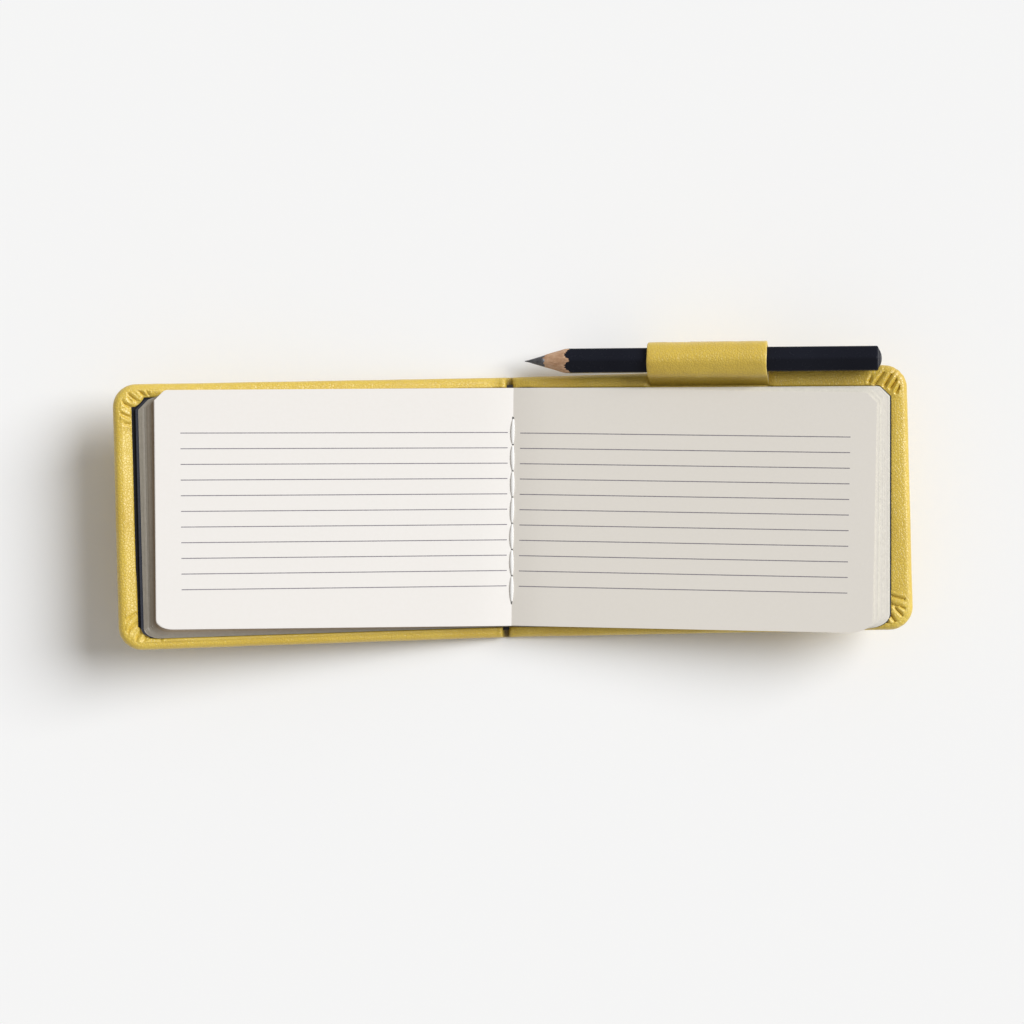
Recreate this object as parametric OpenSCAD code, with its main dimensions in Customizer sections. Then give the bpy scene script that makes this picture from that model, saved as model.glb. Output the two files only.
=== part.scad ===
// Pocket notebook in a padded leather cover. It lies open at its middle on the
// flat of its spine, both covers rising a little, and a pencil sits in a
// leather loop at the head of the back cover.
// Millimetres: X runs across the spread with the back cover at +X, Y runs along
// the spine to the head, Z is up, and z = 0 is the surface that it rests on.

/* [Covers] */
// Width of one cover from its hinge line to the fore-edge
cover_w = 107.8; // [85:0.1:140]
// Height of the covers from tail to head
cover_h = 74; // [60:0.5:110]
// Radius of the outer corners
cover_corner_r = 6.5; // [4:0.1:9]
// Thickness of the leather
leather_t = 1.2; // [0.9:0.05:1.8]
// Thickness of the board in each cover
board_t = 1.8; // [1.2:0.1:3]
// Thickness of the coloured endpaper
endpaper_t = 0.2; // [0.1:0.05:0.4]
// Height of the padded rim above the endpaper
rim_rise = 0.6; // [0.3:0.05:0.8]
// Width of the padded rim along the fore-edge
rim_fore_w = 5; // [4:0.1:8]
// Width of the padded rim along the head and the tail
rim_side_w = 2.8; // [2.2:0.1:4]
// Length of the cut across each corner of the endpaper, along one side
endpaper_cut = 3.6; // [2:0.1:5]
// Turn of the book's body in the back cover, in degrees
back_turn = 1.5; // [0:0.1:2]

/* [Pleats] */
// Gathers in the leather at each outer corner
pleats = 5; // [3:1:7]
// Radius of the crease between two gathers
pleat_r = 0.45; // [0.2:0.05:0.6]
// Distance from one crease to the next
pleat_pitch = 1.9; // [1.4:0.1:2.4]
// Direction of the creases against the head of the cover, in degrees
pleat_angle = 48; // [35:1:60]

/* [Spine] */
// Distance from the middle of the spine to each hinge line
spine_half = 4.6; // [4:0.1:8]
// Thickness of the spine's stiffener
stiffener_t = 0.7; // [0.4:0.1:1.2]
// Thickness of the cloth lining glued to the backs of the sections
lining_t = 0.3; // [0.2:0.05:0.5]
// Rise of the front cover from the surface, in degrees
front_angle = 10.5; // [4:0.5:14]
// Rise of the back cover from the surface, in degrees
back_angle = 8.5; // [4:0.5:14]

/* [Leaves] */
// Distance from the leaves' head to the head of the front endpaper
leaf_gap = 0.4; // [0.3:0.1:1.5]
// Thickness of the leaves on each side of the opening
half_block_t = 4; // [2:0.1:7]
// Strip of endpaper that shows beyond the lowest leaf on the front cover
front_show = 1.9; // [0.5:0.1:3]
// Strip of endpaper that shows beyond the lowest leaf on the back cover
back_show = 0.5; // [0.3:0.1:3]
// Distance that the leaves on the front cover fan out at the fore-edge
front_fan = 3.7; // [1:0.1:6]
// Distance that the leaves on the back cover fan out at the fore-edge
back_fan = 4.2; // [1:0.1:6]
// Radius of the leaves' corners
leaf_corner_r = 3.5; // [2:0.1:6]
// Turn of the uppermost leaf against the lowest, in degrees
leaf_skew = 1.1; // [0:0.1:1.4]
// Groups of leaves that the fan is made of
leaf_groups = 6; // [4:1:8]
// Height of the gutter's floor above the lining
gutter_h = 2.4; // [1.6:0.1:3]
// Reach of the leaves' curve into the gutter
dip_reach = 9; // [6:0.5:14]

/* [Ruling] */
// Ruled lines on each page
rules = 11; // [6:1:12]
// Distance from one ruled line to the next
rule_pitch = 4.36; // [3:0.02:4.6]
// Width of a ruled line
rule_w = 0.3; // [0.2:0.05:0.5]
// Distance from the gutter to the start of a line on the front side
front_rule_start = 1.5; // [1:0.1:6]
// Distance from the gutter to the start of a line on the back side
back_rule_start = 2.3; // [1:0.1:6]
// Margin from the end of a line to the fore-edge of the page
rule_margin = 7; // [4:0.1:12]

/* [Sewing] */
// Stitches along the gutter
stitches = 7; // [4:1:7]
// Distance from one sewing hole to the next
stitch_pitch = 7.55; // [5:0.05:7.8]
// Diameter of the thread
thread_d = 0.5; // [0.3:0.05:0.6]

/* [Pencil] */
// Length of the pencil
pencil_len = 100.7; // [90:0.1:120]
// Distance across two opposite flats
pencil_flats = 7; // [6:0.1:8]
// Thickness of the lacquer
lacquer_t = 0.15; // [0.1:0.05:0.3]
// Diameter of the lead
lead_d = 3; // [1.8:0.1:3.4]
// Length of the sharpened cone, measured to the middle of a flat
point_len = 11.4; // [9:0.1:16]
// Distance from the hinge line to the pencil's tip, along the cover
tip_u = 0.8; // [-2:0.1:6]
// Distance of the pencil's axis beyond the head of the cover
pencil_out = 3.4; // [3.4:0.1:5]
// Gap between the pencil's lower corner and the top of the cover's rim
pencil_clear = 0.4; // [0.3:0.05:1]
// Turn of the pencil against the cover, in degrees
pencil_skew = 1.45; // [0:0.05:1.5]

/* [Loop] */
// Length of the loop along the pencil
loop_len = 34; // [25:0.5:45]
// Distance from the hinge line to the middle of the loop
loop_u = 52.8; // [46:0.1:60]
// Thickness of the loop's strap
strap_t = 0.9; // [0.6:0.05:1.1]
// Gap between the loop and the pencil's corners
loop_clear = 0.2; // [0.1:0.05:0.4]
// Length of the strap's end that is glued under the endpaper
tail_len = 14; // [8:0.5:20]

/* [Hidden] */
$fn = 64;

leather_colour = [0.86, 0.73, 0.30];
endpaper_colour = [0.20, 0.22, 0.28];
board_colour = [0.62, 0.60, 0.55];
paper_colour = [0.94, 0.92, 0.89];
cloth_colour = [0.86, 0.85, 0.80];
rule_colour = [0.36, 0.37, 0.45];
thread_colour = [0.97, 0.97, 0.95];
wood_colour = [0.75, 0.56, 0.39];
lacquer_colour = [0.07, 0.09, 0.15];
lead_colour = [0.22, 0.22, 0.24];

// Small gaps between pieces that are glued or slipped together
glue_gap = 0.05;
fold_gap = 0.1;
hinge_gap = 0.15;
notch_gap = 0.4;

// Heights above a cover's outer face
board_top = leather_t + board_t;
pastedown_top = board_top + endpaper_t;
rim_top = pastedown_top + rim_rise;
flyleaf_low = rim_top + fold_gap;
block_low = flyleaf_low + endpaper_t;
edge_r = rim_top / 2;
hinge_z = leather_t / 2;

// Lines along a cover, measured from its hinge line
leather_start = hinge_z + hinge_gap;
joint_w = 2.2;
board_start = leather_start + joint_w;
endpaper_start = leather_start + fold_gap;
endpaper_end = cover_w - rim_fore_w;
endpaper_half = cover_h / 2 - rim_side_w;
lip_slope = 0.35;
front_leaf_u = endpaper_end - front_show;
back_leaf_u = endpaper_end - back_show;

// Spine stack
stiffener_half = spine_half - 0.7;
lining_half = stiffener_half - 0.3;
back_z = leather_t + stiffener_t + lining_t;
headcap_d = back_z - fold_gap;
headcap_half = stiffener_half - 0.1;

// Leaves
leaf_h = cover_h - 2 * (rim_side_w + leaf_gap);
group_t = half_block_t / leaf_groups;
dip_steps = 6;
far = cover_w + spine_half;
tallest = 200;
ink_t = 0.04;
thread_z = fold_floor(leaf_groups) + thread_d * 0.7;

// Pencil and loop
pencil_corner = pencil_flats / sqrt(3);
loop_r = pencil_corner + loop_clear;
pencil_w = rim_top + pencil_clear + pencil_corner;
pencil_v = cover_h / 2 + pencil_out;
tip_from_loop = loop_u - tip_u;
// head of the leaves where the loop's strap goes in beside them
loop_leaf_v = leaf_h / 2 - loop_u * tan(back_turn);
cone_len = point_len * pencil_corner / (pencil_flats / 2);
end_cap = 1.2;
end_round = 0.8;

// A point of a cover: u from the hinge line, w above the outer face
function cover_x(a, u, w) = spine_half + u * cos(a) - (w - hinge_z) * sin(a);
function cover_z(a, u, w) = hinge_z + u * sin(a) + (w - hinge_z) * cos(a);
// Height at x of the plane that lies w above the outer face
function plane_z(a, w, x) =
    cover_z(a, (x - spine_half + (w - hinge_z) * sin(a)) / cos(a), w);

// Surface k of the open leaves: a plane that dips smoothly into the gutter
function fold_floor(k) = back_z + gutter_h * k / leaf_groups;
function reach(k) = spine_half + (dip_reach - spine_half) * k / leaf_groups;
function leaf_w(k) = block_low + group_t * k;
function leaf_z(a, k, x) =
    let (flat = plane_z(a, leaf_w(k), x))
    x >= reach(k) ? flat
        : flat - (plane_z(a, leaf_w(k), 0) - fold_floor(k)) * pow(1 - x / reach(k), 2);
function sample_xs() = concat([for (i = [0:dip_steps]) dip_reach * i / dip_steps], [far]);
function leaf_face(k, lift = 0) = concat(
    [for (i = [dip_steps + 1:-1:1])
        [-sample_xs()[i], leaf_z(front_angle, k, sample_xs()[i]) + lift]],
    [for (x = sample_xs()) [x, leaf_z(back_angle, k, x) + lift]]
);
// The lowest surface is flat where it meets the lining
function seat_side(a) = [
    [lining_half, back_z],
    [cover_x(a, 0, block_low), cover_z(a, 0, block_low)],
    [far, plane_z(a, block_low, far)]
];
function seat() = concat(
    [for (i = [2:-1:0]) [-seat_side(front_angle)[i][0], seat_side(front_angle)[i][1]]],
    seat_side(back_angle)
);
function side_turn(side) = side > 0 ? back_turn : 0;
function reversed(list) = [for (i = [len(list) - 1:-1:0]) list[i]];
function leaf_turn(turn, k) = -turn - leaf_skew * k / (leaf_groups - 1);
function leaf_edge(a, low_u, fan, k) =
    cover_x(a, low_u - fan * k / (leaf_groups - 1), leaf_w(k + 0.5));
function front_edge(k) = leaf_edge(front_angle, front_leaf_u, front_fan, k);
function back_edge(k) = leaf_edge(back_angle, back_leaf_u, back_fan, k);

// Puts a shape that is drawn on a level cover onto its side of the spine
module on_cover(side) {
    mirror([side < 0 ? 1 : 0, 0, 0])
        translate([spine_half, 0, hinge_z])
            rotate([0, side < 0 ? -front_angle : -back_angle, 0])
                translate([0, 0, -hinge_z])
                    children();
}

// Rectangle from x0 to x1 with round corners at the far end only
module cover_outline(x0, x1, h, r) {
    translate([x0, -h / 2])
        square([x1 - x0 - r, h]);
    translate([x0, r - h / 2])
        square([x1 - x0, h - 2 * r]);
    for (s = [-1, 1])
        translate([x1 - r, s * (h / 2 - r)])
            circle(r);
}

// The endpaper's outline, with its corners at the fore-edge cut off. Its head
// and its fore-edge are turned, so that they stay parallel to the leaves.
module endpaper_outline(x0, grow, turn) {
    x1 = endpaper_end + grow;
    half = endpaper_half + grow;
    cut = endpaper_cut;
    head = half - x1 * tan(turn);
    low_x = x1 - half * tan(turn);
    high_x = x1 + head * tan(turn);
    polygon([[x0, -half], [low_x - cut, -half], [low_x, cut - half],
             [high_x, head - cut], [high_x - cut, head], [x0, half - x0 * tan(turn)]]);
}

// Full round along the head, the tail and the fore-edge
module rolled_edge() {
    turn_r = cover_corner_r - edge_r;
    straight = cover_w - cover_corner_r - leather_start;
    for (s = [-1, 1]) {
        translate([leather_start, s * (cover_h / 2 - edge_r), edge_r])
            rotate([0, 90, 0])
                cylinder(r = edge_r, h = straight);
        translate([cover_w - cover_corner_r, s * (cover_h / 2 - cover_corner_r), edge_r])
            rotate([0, 0, s > 0 ? 0 : -90])
                rotate_extrude(angle = 90)
                    translate([turn_r, 0])
                        circle(edge_r);
    }
    translate([cover_w - edge_r, 0, edge_r])
        rotate([90, 0, 0])
            cylinder(r = edge_r, h = cover_h - 2 * cover_corner_r, center = true);
}

// Side by side creases from the endpaper's cut corners out over the rim
module corner_creases() {
    for (s = [-1, 1], i = [0:pleats - 1])
        translate([endpaper_end - endpaper_cut / 2, s * (endpaper_half - endpaper_cut / 2),
                   rim_top + 0.1])
            rotate([0, 0, s * pleat_angle])
                translate([0.4, pleat_pitch * (i - (pleats - 1) / 2), 0])
                    rotate([0, 90, 0])
                        cylinder(r = pleat_r, h = 2 * cover_corner_r, $fn = 24);
}

module cover_leather(side) {
    cavity_half = cover_h / 2 - leather_t + glue_gap;
    on_cover(side) difference() {
        union() {
            rolled_edge();
            linear_extrude(rim_top)
                cover_outline(leather_start, cover_w - edge_r, cover_h - 2 * edge_r,
                              cover_corner_r - edge_r);
        }
        // room for the board, open towards the hinge
        translate([0, 0, leather_t])
            linear_extrude(board_t)
                cover_outline(-1, cover_w - leather_t + glue_gap, 2 * cavity_half,
                              cover_corner_r - leather_t);
        // field for the endpaper, with a sloping lip
        translate([0, 0, board_top - 0.01])
            hull() {
                linear_extrude(0.01)
                    endpaper_outline(-1, 0, side_turn(side));
                translate([0, 0, rim_rise + endpaper_t + 0.02])
                    linear_extrude(0.01)
                        endpaper_outline(-1, lip_slope, side_turn(side));
            }
        corner_creases();
        // the rim is pressed flat where the loop crosses it
        if (side > 0)
            strap_room(loop_leaf_v - 1, board_top);
    }
}

// Room for the loop's strap, from v0 on towards the head and from w0 up
module strap_room(v0, w0) {
    translate([loop_u, pencil_v, w0])
        rotate([0, 0, -pencil_skew])
            translate([-loop_len / 2 - notch_gap, v0 - pencil_v, 0])
                cube([loop_len + 2 * notch_gap, cover_h, rim_top]);
}

module cover_board() {
    translate([0, 0, leather_t])
        linear_extrude(board_t)
            cover_outline(board_start, cover_w - leather_t,
                          cover_h - 2 * leather_t, cover_corner_r - leather_t);
}

module front_leather() {
    color(leather_colour)
        cover_leather(-1);
}

module back_leather() {
    color(leather_colour)
        cover_leather(1);
}

module spine_leather() {
    color(leather_colour) {
        translate([-spine_half, -cover_h / 2, 0])
            cube([2 * spine_half, cover_h, leather_t]);
        for (s = [-1, 1]) {
            // rounded edge that the cover's leather turns around
            translate([s * spine_half, 0, hinge_z])
                rotate([90, 0, 0])
                    cylinder(r = hinge_z, h = cover_h, center = true);
            // rolled cap at the head and at the tail
            translate([-headcap_half, s * (cover_h / 2 - headcap_d / 2), headcap_d / 2])
                rotate([0, 90, 0])
                    cylinder(d = headcap_d, h = 2 * headcap_half);
        }
    }
}

module spine_stiffener() {
    color(board_colour)
        translate([-stiffener_half, headcap_d + glue_gap - cover_h / 2, leather_t])
            cube([2 * stiffener_half, cover_h - 2 * (headcap_d + glue_gap), stiffener_t]);
}

module spine_lining() {
    color(cloth_colour)
        translate([-lining_half, 1 - leaf_h / 2, leather_t + stiffener_t])
            cube([2 * lining_half, leaf_h - 2, lining_t]);
}

module front_board() {
    color(board_colour)
        on_cover(-1)
            cover_board();
}

module back_board() {
    color(board_colour)
        on_cover(1) difference() {
            cover_board();
            // recess for the glued end of the loop
            strap_room(loop_leaf_v - tail_len - notch_gap, board_top - strap_t - glue_gap);
        }
}

module pastedown(side) {
    translate([0, 0, board_top])
        linear_extrude(endpaper_t)
            endpaper_outline(endpaper_start, -fold_gap, side_turn(side));
}

module front_pastedown() {
    color(endpaper_colour)
        on_cover(-1)
            pastedown(-1);
}

module back_pastedown() {
    color(endpaper_colour)
        on_cover(1) difference() {
            pastedown(1);
            strap_room(loop_leaf_v, 0);
        }
}

module flyleaf(len, turn) {
    translate([0, 0, flyleaf_low])
        linear_extrude(endpaper_t)
            intersection() {
                rotate(-turn)
                    cover_outline(-1, len, leaf_h, leaf_corner_r);
                translate([0, -cover_h])
                    square([cover_w, 2 * cover_h]);
            }
}

module front_flyleaf() {
    color(endpaper_colour)
        on_cover(-1)
            flyleaf(front_leaf_u, 0);
}

module back_flyleaf() {
    color(endpaper_colour)
        on_cover(1)
            flyleaf(back_leaf_u, back_turn);
}

// Outline of leaf group k, seen from above
module leaf_outline(k) {
    rotate(leaf_turn(back_turn, k))
        cover_outline(0, back_edge(k), leaf_h, leaf_corner_r);
    rotate(leaf_turn(0, k))
        mirror([1, 0])
            cover_outline(0, front_edge(k), leaf_h, leaf_corner_r);
}

// A section across the spread, drawn out along the spine
module along_spine(points) {
    rotate([90, 0, 0])
        linear_extrude(tallest, center = true)
            polygon(points);
}

module page_block() {
    color(paper_colour) difference() {
        union() for (k = [0:leaf_groups - 1])
            intersection() {
                along_spine(concat(k == 0 ? seat() : leaf_face(k), reversed(leaf_face(k + 1))));
                linear_extrude(tallest)
                    leaf_outline(k);
            }
        sewing_holes(thread_d + 2 * fold_gap);
    }
}

module ruled_lines() {
    color(rule_colour) intersection() {
        along_spine(concat(leaf_face(leaf_groups), reversed(leaf_face(leaf_groups, ink_t))));
        linear_extrude(tallest) {
            rotate(leaf_turn(back_turn, leaf_groups - 1))
                page_rules(back_rule_start, back_edge(leaf_groups - 1) - rule_margin);
            rotate(leaf_turn(0, leaf_groups - 1))
                mirror([1, 0])
                    page_rules(front_rule_start, front_edge(leaf_groups - 1) - rule_margin);
        }
    }
}

module page_rules(start, end) {
    for (i = [0:rules - 1])
        translate([start, rule_pitch * (i - (rules - 1) / 2) - rule_w / 2])
            square([end - start, rule_w]);
}

// Uprights at the sewing holes, through the middle of the fold
module sewing_holes(d) {
    for (i = [0:stitches])
        translate([0, stitch_pitch * (i - stitches / 2), thread_z - gutter_h * 0.7])
            cylinder(d = d, h = gutter_h * 0.7, $fn = 24);
}

module sewing_thread() {
    color(thread_colour) {
        sewing_holes(thread_d);
        translate([0, 0, thread_z])
            rotate([90, 0, 0])
                cylinder(d = thread_d, h = stitch_pitch * stitches + thread_d,
                         center = true, $fn = 24);
    }
}

// Puts a shape that is drawn along +X from the middle of the loop onto the cover
module at_pencil() {
    on_cover(1)
        translate([loop_u, pencil_v, pencil_w])
            rotate([0, 0, -pencil_skew])
                children();
}

module pencil_loop() {
    ring_r = loop_r + strap_t;
    // the strap's path beside the ring, as offsets from the pencil's axis
    leaf_v = loop_leaf_v - pencil_v;
    ramp_v = cover_h / 2 - leather_t - notch_gap - pencil_v;
    tail_w = board_top - pencil_w;
    foot = [leaf_v + 2 * notch_gap, tail_w + strap_t];
    // angles round the ring at which the strap leaves it, above and below
    over = 360 + atan2(foot[1], foot[0]) - acos(ring_r / norm(foot));
    under = 250;
    apex_r = 0.94 * loop_r / cos((under - over) / 2);
    // the straight stretches start a little inside the ring, so that they cross it
    sink = 0.2;
    color(leather_colour)
        at_pencil()
            rotate([90, 0, 90])
                linear_extrude(loop_len, center = true)
                    difference() {
                        union() {
                            circle(ring_r);
                            polygon([
                                (ring_r - sink) * [cos(over), sin(over)],
                                foot,
                                [leaf_v + notch_gap, tail_w],
                                [leaf_v - tail_len, tail_w],
                                [leaf_v - tail_len, tail_w - strap_t],
                                [ramp_v - strap_t - fold_gap, tail_w - strap_t],
                                [ramp_v, tail_w + fold_gap],
                                (ring_r - sink) * [cos(under), sin(under)]
                            ]);
                        }
                        circle(loop_r);
                        polygon([
                            [0, 0], (loop_r - sink) * [cos(over), sin(over)],
                            apex_r * [cos((over + under) / 2), sin((over + under) / 2)],
                            (loop_r - sink) * [cos(under), sin(under)]
                        ]);
                    }
}

// Hexagonal bar along +X with a corner on top
module hexagon_bar(flats, len) {
    rotate([0, 90, 0])
        cylinder(r = flats / sqrt(3), h = len, $fn = 6);
}

// Everything inside the cone that the sharpener cuts
module sharpened() {
    translate([-tip_from_loop, 0, 0])
        intersection() {
            children();
            union() {
                rotate([0, 90, 0])
                    cylinder(r1 = 0, r2 = pencil_corner, h = cone_len);
                translate([cone_len, 0, 0])
                    rotate([0, 90, 0])
                        cylinder(r = pencil_corner + 1, h = pencil_len);
            }
        }
}

module pencil_wood() {
    color(wood_colour)
        at_pencil()
            sharpened()
                difference() {
                    hexagon_bar(pencil_flats - 2 * lacquer_t, pencil_len - end_cap);
                    rotate([0, 90, 0])
                        cylinder(d = lead_d, h = pencil_len);
                }
}

module pencil_lead() {
    color(lead_colour)
        at_pencil()
            sharpened()
                rotate([0, 90, 0])
                    cylinder(d = lead_d, h = pencil_len - end_cap);
}

module pencil_lacquer() {
    color(lacquer_colour)
        at_pencil()
            sharpened()
                difference() {
                    intersection() {
                        hexagon_bar(pencil_flats, pencil_len);
                        // bevel round the blunt end
                        rotate([0, 90, 0])
                            union() {
                                cylinder(r = pencil_corner + 1, h = pencil_len - end_round);
                                translate([0, 0, pencil_len - end_round])
                                    cylinder(r1 = pencil_corner, r2 = pencil_corner - end_round,
                                             h = end_round);
                            }
                    }
                    hexagon_bar(pencil_flats - 2 * lacquer_t, pencil_len - end_cap);
                }
}

spine_leather();
front_leather();
back_leather();
spine_stiffener();
front_board();
back_board();
front_pastedown();
back_pastedown();
front_flyleaf();
back_flyleaf();
spine_lining();
page_block();
ruled_lines();
sewing_thread();
pencil_loop();
pencil_wood();
pencil_lacquer();
pencil_lead();
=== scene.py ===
"""An open pocket notebook in padded yellow leather, seen from straight above.

Built lengths are in millimetres and are scaled to metres when a mesh is made.
Along a cover, xi runs from the middle of the spine to the fore-edge, v from
tail to head, and w up from the cover's outer face.
"""

from math import acos, atan2, cos, hypot, pi, radians, sin, sqrt, tan

import bmesh
import bpy
import numpy as np
from mathutils import Matrix, Vector, noise
from mathutils.geometry import tessellate_polygon

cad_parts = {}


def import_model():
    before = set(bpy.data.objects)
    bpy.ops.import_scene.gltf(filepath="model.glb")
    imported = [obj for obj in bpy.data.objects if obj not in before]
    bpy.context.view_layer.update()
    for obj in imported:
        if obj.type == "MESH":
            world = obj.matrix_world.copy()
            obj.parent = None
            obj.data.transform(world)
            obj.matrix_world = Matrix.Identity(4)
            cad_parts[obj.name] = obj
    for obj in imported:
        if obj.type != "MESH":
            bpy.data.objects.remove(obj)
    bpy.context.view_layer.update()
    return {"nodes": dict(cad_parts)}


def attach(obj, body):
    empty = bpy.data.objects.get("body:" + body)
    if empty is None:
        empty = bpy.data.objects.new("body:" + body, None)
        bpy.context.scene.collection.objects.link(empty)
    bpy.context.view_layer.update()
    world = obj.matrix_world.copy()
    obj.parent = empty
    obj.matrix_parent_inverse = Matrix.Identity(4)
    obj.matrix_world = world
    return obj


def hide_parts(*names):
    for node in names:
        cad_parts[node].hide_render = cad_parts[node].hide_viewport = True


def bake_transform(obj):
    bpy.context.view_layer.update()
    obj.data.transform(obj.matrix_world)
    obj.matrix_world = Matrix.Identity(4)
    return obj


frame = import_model()
nodes = frame["nodes"]
MM = 0.001

# Sizes shared with the construction, in millimetres and degrees
SPINE_HALF = 4.6
HINGE_Z = 0.6
COVER_W = 107.8
COVER_H = 74.0
CORNER_R = 6.5
LEATHER_T = 1.2
BOARD_TOP = 3.0
RIM_TOP = 3.8
RIM_SIDE = 2.8
RIM_FORE = 5.0
ENDPAPER_CUT = 3.6
BACK_TURN = radians(1.5)
ANGLE = {-1: radians(10.5), 1: radians(8.5)}
SIDE_NAME = {-1: "front", 1: "back"}

BLOCK_LOW = 4.1
HALF_BLOCK = 4.0
LEAF_H = 67.6
LOW_LEAF_U = {-1: 100.9, 1: 102.3}
HEAD_CUT = 2.8
TAIL_ROUND = {-1: (4.6, 2.8), 1: (6.4, 4.0)}
GUTTER_SKEW = radians(2.0)
BACK_Z = 2.2
GUTTER_H = 4.5
DIP_REACH = 12.0

RULES = 11
RULE_PITCH = 4.34
RULE_W = 0.25
RULE_START = {-1: 1.5, 1: 2.0}
RULE_MARGIN = 7.0
RULE_SHIFT = {-1: -0.52, 1: -0.64}
RULE_TURN = {-1: 0.05, 1: 0.22}

STITCHES = 7
STITCH_PITCH = 7.42
STITCH_SHIFT = -0.84

PENCIL_LEN = 100.1
PENCIL_APOTHEM = 3.4
POINT_LEN = 11.4
LEAD_R = 1.5
PENCIL_OUT = 2.85
PENCIL_CLEAR = 0.4
PENCIL_SKEW = radians(1.45)
TIP_U = 1.1
LOOP_U = 52.8
LOOP_LEN = 33.4
LOOP_CLEAR = 0.2
STRAP_T = 0.9
TAIL_LEN = 14.0
NOTCH_GAP = 0.4

PENCIL_CORNER = 2 * PENCIL_APOTHEM / sqrt(3)
PENCIL_W = RIM_TOP + PENCIL_CLEAR + 3.5 * 2 / sqrt(3)
PENCIL_V = COVER_H / 2 + PENCIL_OUT
LOOP_LEAF_V = LEAF_H / 2 - LOOP_U * tan(BACK_TURN)


# Mesh helpers

def smoothstep(low, high, x):
    t = np.clip((np.asarray(x, float) - low) / (high - low), 0, 1)
    return t * t * (3 - 2 * t)


def wobble(points, scale, seed):
    """Smooth noise from -1 to 1 at each point, with features about 1 / scale apart."""
    shift = Vector((seed * 17.3, seed * 5.1, seed * 9.7))
    return np.array([noise.noise(Vector(p) * scale + shift) for p in points])


def grid_faces(rows, cols, first=0):
    """Quads of a grid whose points run along each row in turn."""
    return [
        (first + r * cols + c, first + r * cols + c + 1,
         first + (r + 1) * cols + c + 1, first + (r + 1) * cols + c)
        for r in range(rows - 1) for c in range(cols - 1)
    ]


def grid_rim(rows, cols):
    """Pairs of neighbouring points round the edge of a grid."""
    rim = list(range(cols)) + [r * cols + cols - 1 for r in range(1, rows)]
    rim += [(rows - 1) * cols + c for c in range(cols - 2, -1, -1)]
    rim += [r * cols for r in range(rows - 2, 0, -1)]
    return zip(rim, rim[1:] + rim[:1])


def tube_faces(rows, cols, first=0, flip=False):
    """Quads of rings of points, each ring closed on itself."""
    quads = []
    for r in range(rows - 1):
        for c in range(cols):
            n = (c + 1) % cols
            quad = (first + r * cols + c, first + r * cols + n,
                    first + (r + 1) * cols + n, first + (r + 1) * cols + c)
            quads.append(quad[::-1] if flip else quad)
    return quads


def make_object(name, points, faces, materials, weld=0.0, sharp=None, face_slots=None):
    """A mesh object from millimetre points, in the row frame."""
    mesh = bpy.data.meshes.new(name)
    mesh.from_pydata((np.asarray(points, float) * MM).tolist(), [], faces)
    for material in materials:
        mesh.materials.append(material)
    if face_slots is not None:
        mesh.polygons.foreach_set("material_index", face_slots)
    bm = bmesh.new()
    bm.from_mesh(mesh)
    if weld:
        bmesh.ops.remove_doubles(bm, verts=bm.verts, dist=weld * MM)
        open_edges = [e for e in bm.edges if e.is_boundary]
        if open_edges:
            bmesh.ops.holes_fill(bm, edges=open_edges, sides=0)
    bmesh.ops.recalc_face_normals(bm, faces=bm.faces)
    bm.to_mesh(mesh)
    bm.free()
    mesh.polygons.foreach_set("use_smooth", [True] * len(mesh.polygons))
    if sharp is not None:
        mesh.set_sharp_from_angle(angle=radians(sharp))
    obj = bpy.data.objects.new(name, mesh)
    bpy.context.scene.collection.objects.link(obj)
    return obj


# Material helpers

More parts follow.
